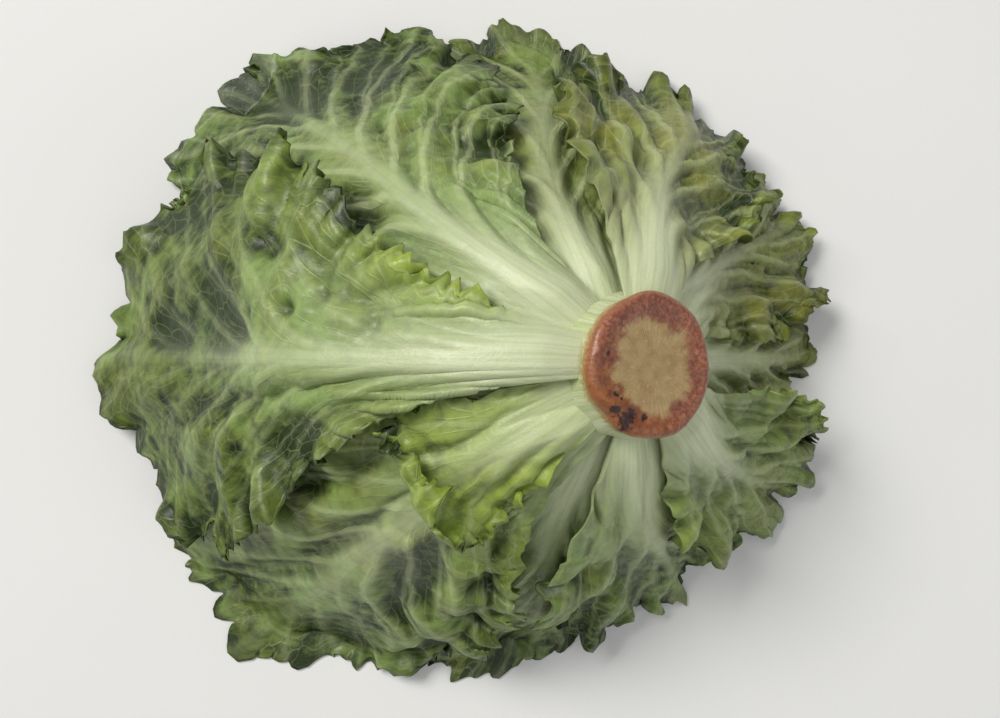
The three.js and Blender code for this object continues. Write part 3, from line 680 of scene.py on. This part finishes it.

# The greens: olive and fresh places, painted shade in the hollows and darker tips, then the pale lines,
# rib and base.
tone = blade.plus(blade.mask("tone"), blade.range(blotch, 0.3, 0.7, -0.25, 0.25), True)
green = blade.blend(tone, given["Green"], given["Olive"])
fresh = blade.plus(blade.mask("fresh"), blade.range(blotch, 0.5, 0.75, 0, 0.3), True)
green = blade.blend(fresh, green, given["Fresh"])
# Painted shade: the hollow mask darkens the pockets, pits and folds towards the deep green, along with the
# leaf's own darker margin, tips and mottling.
deep = blade.plus(blade.times(blade.mask("hollow_shade"), 0.85), blade.times(blade.mask("edge"), 0.22))
deep = blade.plus(deep, blade.times(blade.mask("tip"), blade.range(blotch, 0.35, 0.6, 0.1, 0.6)))
deep = blade.plus(deep, blade.range(mottle, 0.3, 0.7, -0.22, 0.22), True)
green = blade.blend(deep, green, given["Deep green"])
vein_green = blade.blend(0.42, given["Rib"], given["Fresh"])
green = blade.blend(lines, green, vein_green)
ribs = blade.plus(blade.times(blade.mask("rib"), 0.45), blade.mask("root"), True)
ribs = blade.times(ribs, blade.range(blade.mask("fresh"), 0.3, 0.9, 1, 0.2))
pale = blade.blend(blade.range(streak, 0.4, 0.75, 0, 0.3), given["Rib"], given["Green"])
green = blade.blend(ribs, green, pale)
green = blade.blend(blade.range(speck, 0.62, 0.8, 0, 0.2), green, vein_green)
blade.feed(green, shown["Colour"])
blade.feed(blade.range(mottle, 0.3, 0.7, 0.32, 0.5), shown["Roughness"])
height = blade.plus(lines, blade.times(mottle, 0.5))
height = blade.plus(height, blade.times(blade.plus(speck, streak), 0.15))
blade.feed(height, shown["Height"])


def leaf_material(name, **colours):
    """A leaf's finish: the shared skin in its own greens, thin enough to glow a little."""
    looks = Looks(name)
    group = looks.tree.nodes.new("ShaderNodeGroup")
    group.node_tree = skin
    for socket, value in colours.items():
        group.inputs[socket.replace("_", " ")].default_value = value
    looks.feed(group.outputs["Colour"], looks.skin.inputs["Base Color"])
    looks.feed(group.outputs["Roughness"], looks.skin.inputs["Roughness"])
    bump = looks.add("Bump", {"Height": group.outputs["Height"], "Strength": 0.6, "Distance": 0.0012})
    looks.feed(bump.outputs[0], looks.skin.inputs["Normal"])
    looks.set_skin(Subsurface_Weight=0.2, Subsurface_Radius=(0.8, 1.0, 0.35), Subsurface_Scale=0.002)
    looks.set_skin(Specular_IOR_Level=0.4, Coat_Weight=0.12, Coat_Roughness=0.28)
    return looks.material


# The deep green is the colour of the painted shade in the hollows, and also of the leaf's darker tips and
# margins.
outer_skin = leaf_material(
    "outer leaf green", Green=colour(136, 163, 88), Deep_green=colour(34, 52, 6),
    Olive=colour(132, 132, 44), Fresh=colour(170, 192, 68), Rib=colour(220, 228, 188),
)
# Columns and rows of a leaf's grid, with the most for the leaves that show most.
BROAD_CELLS, SIDE_CELLS, SHORT_CELLS, QUICK_CELLS = (120, 176), (92, 136), (64, 84), (48, 70)
outer_cells = [BROAD_CELLS] * 3 + [SIDE_CELLS] * 5 + [BROAD_CELLS, SHORT_CELLS, BROAD_CELLS]
for k, leaf in enumerate(leaves[:len(OUTER)]):
    piece = leaf_piece(leaf, leaves, f"outer_blade_{k + 1}", *outer_cells[k])
    piece.data.materials.append(outer_skin)
    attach(piece, "root")
    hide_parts(f"outer_leaf_{k + 1}")

# The inner leaves: nine paler blades that follow the outer ones up the stalk in a spiral,
# smaller and more upright towards the heart. They show in the gaps and from below.
inner_skin = leaf_material(
    "inner leaf green", Green=colour(142, 168, 84), Deep_green=colour(54, 80, 28),
    Olive=colour(148, 152, 66), Fresh=colour(178, 198, 86), Rib=colour(218, 226, 184),
)
inner_cells = ((56, 66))
for k, leaf in enumerate(leaves[len(OUTER):-HEART_LEAVES]):
    piece = leaf_piece(leaf, leaves, f"inner_blade_{k + 1}", *inner_cells)
    piece.data.materials.append(inner_skin)
    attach(piece, "root")
    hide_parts(f"inner_leaf_{k + 1}")

# The heart: six small yellow-green leaves folded round a firm bud, which carries on from the
# stalk's tip. It is hidden in the head, and shows only from below.
HEART_CORE_RADIUS, HEART_CORE_LENGTH, CORE_GAP = 9.4, 16.0, 0.4
BUD_DOWN = (0, 0, 0.25, 0.5, 0.78, 0.96, 1.0)
BUD_ROUND = (0, 0.95, 1, 0.95, 0.7, 0.3, 0.0)
BUD_COLUMNS, BUD_ROWS = 48, 40
BUD_MASKS = {
    "rib": 0.5, "edge": 0, "root": 0.6, "hollow_shade": 0, "tone": 0.5, "fresh": 0.6, "tip": 0, "veined": 0,
}
heart_skin = leaf_material(
    "heart yellow", Green=colour(196, 212, 120), Deep_green=colour(150, 176, 80),
    Olive=colour(212, 210, 124), Fresh=colour(214, 222, 136), Rib=colour(238, 240, 204),
)
for k, leaf in enumerate(leaves[-HEART_LEAVES:]):
    piece = leaf_piece(leaf, leaves, f"heart_blade_{k + 1}", 26, 32)
    piece.data.materials.append(heart_skin)
    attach(piece, "root")
    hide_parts("heart")

bud_share = np.linspace(0, len(BUD_DOWN) - 1, BUD_ROWS + 1)
bud_radius = HEART_CORE_RADIUS * np.interp(bud_share, np.arange(len(BUD_ROUND)), BUD_ROUND)[:, None]
bud_depth = HEART_CORE_LENGTH * np.interp(bud_share, np.arange(len(BUD_DOWN)), BUD_DOWN)[:, None]
bud_depth = STEM_LENGTH + CORE_GAP + bud_depth
turn = np.linspace(0, 2 * math.pi, BUD_COLUMNS + 1)[None, :]
furrow = 0.35 * np.sin(5 * turn + bud_depth / 3)
bud_points = (bud_radius * (1 + 0.05 * furrow))[..., None] * sideways(turn)
bud_points = CUT_CENTRE - bud_depth[..., None] * STEM_OUT + bud_points
bud = grid_piece("heart_bud", BUD_COLUMNS, BUD_ROWS)
put_points(bud, bud_points.reshape(-1, 3))
for name, value in BUD_MASKS.items():
    put_mask(bud, name, np.full(len(bud.data.vertices), value))
close_up(bud)
bud.data.materials.append(heart_skin)
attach(bud, "root")
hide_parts("heart")

# The table: a plain pale floor under the head, with soft window light from the upper left, a
# weaker fill from the right, and the camera straight above it. Sizes here are in metres.
TABLE_SIZE, TABLE_DROP = 24, 0.0003
LIGHTS = (
    ("window", (-1.65, 1.5, 2.55), 1.5, 82, (1.0, 0.98, 0.94)),
    ("fill", (2.25, -1.05, 1.8), 2.4, 12, (0.98, 0.99, 1.0)),
    ("overhead", (0.0, 0.0, 3.9), 3.0, 24, (1.0, 1.0, 1.0)),
)
DAYLIGHT, SEEN_DAYLIGHT = 0.17, 0.55
CAMERA_PLACE, CAMERA_LENS, CAMERA_SENSOR = (0.01504, -0.00279, 0.45), 43.8, 36.0
bpy.ops.object.select_all(action="DESELECT")
bpy.ops.mesh.primitive_plane_add(size=TABLE_SIZE, location=(0, 0, -TABLE_DROP))
table = bpy.context.object
table.name = "table_top"
bpy.ops.object.transform_apply(location=True, rotation=True, scale=True)
top = Looks("pale table")
paper = top.noise(top.add("TexCoord").outputs["Object"], 9, 3)
top.feed(top.blend(paper, colour(247, 247, 245), colour(242, 242, 241)), top.skin.inputs["Base Color"])
top.set_skin(Roughness=0.7)
table.data.materials.append(top.material)

for name, place, size, power, tint in LIGHTS:
    light = bpy.data.lights.new(name, "AREA")
    light.size, light.energy, light.color = size, power, tint
    lamp = bpy.data.objects.new(name, light)
    lamp.location = place
    aim = -np.array(place) / np.linalg.norm(place)
    heading = math.atan2(-aim[0], aim[1]) if np.hypot(aim[0], aim[1]) > 1e-6 else 0
    lamp.rotation_euler = (math.acos(-aim[2]), 0, heading)
    bpy.context.collection.objects.link(lamp)
world = bpy.data.worlds.new("daylight")
world.use_nodes = True
air = Looks("daylight", world.node_tree)
backdrop = world.node_tree.nodes["Background"].inputs
seen = air.times(air.add("LightPath").outputs["Is Camera Ray"], SEEN_DAYLIGHT)
air.feed(air.plus(seen, DAYLIGHT), backdrop["Strength"])
air.feed((0.98, 0.99, 1.0, 1), backdrop["Color"])
bpy.context.scene.world = world

camera = bpy.data.objects.new("camera", bpy.data.cameras.new("camera"))
camera.data.lens, camera.data.sensor_width = CAMERA_LENS, CAMERA_SENSOR
camera.location = CAMERA_PLACE
bpy.context.collection.objects.link(camera)
bpy.context.scene.camera = camera
bpy.context.scene.view_settings.view_transform = "Standard"
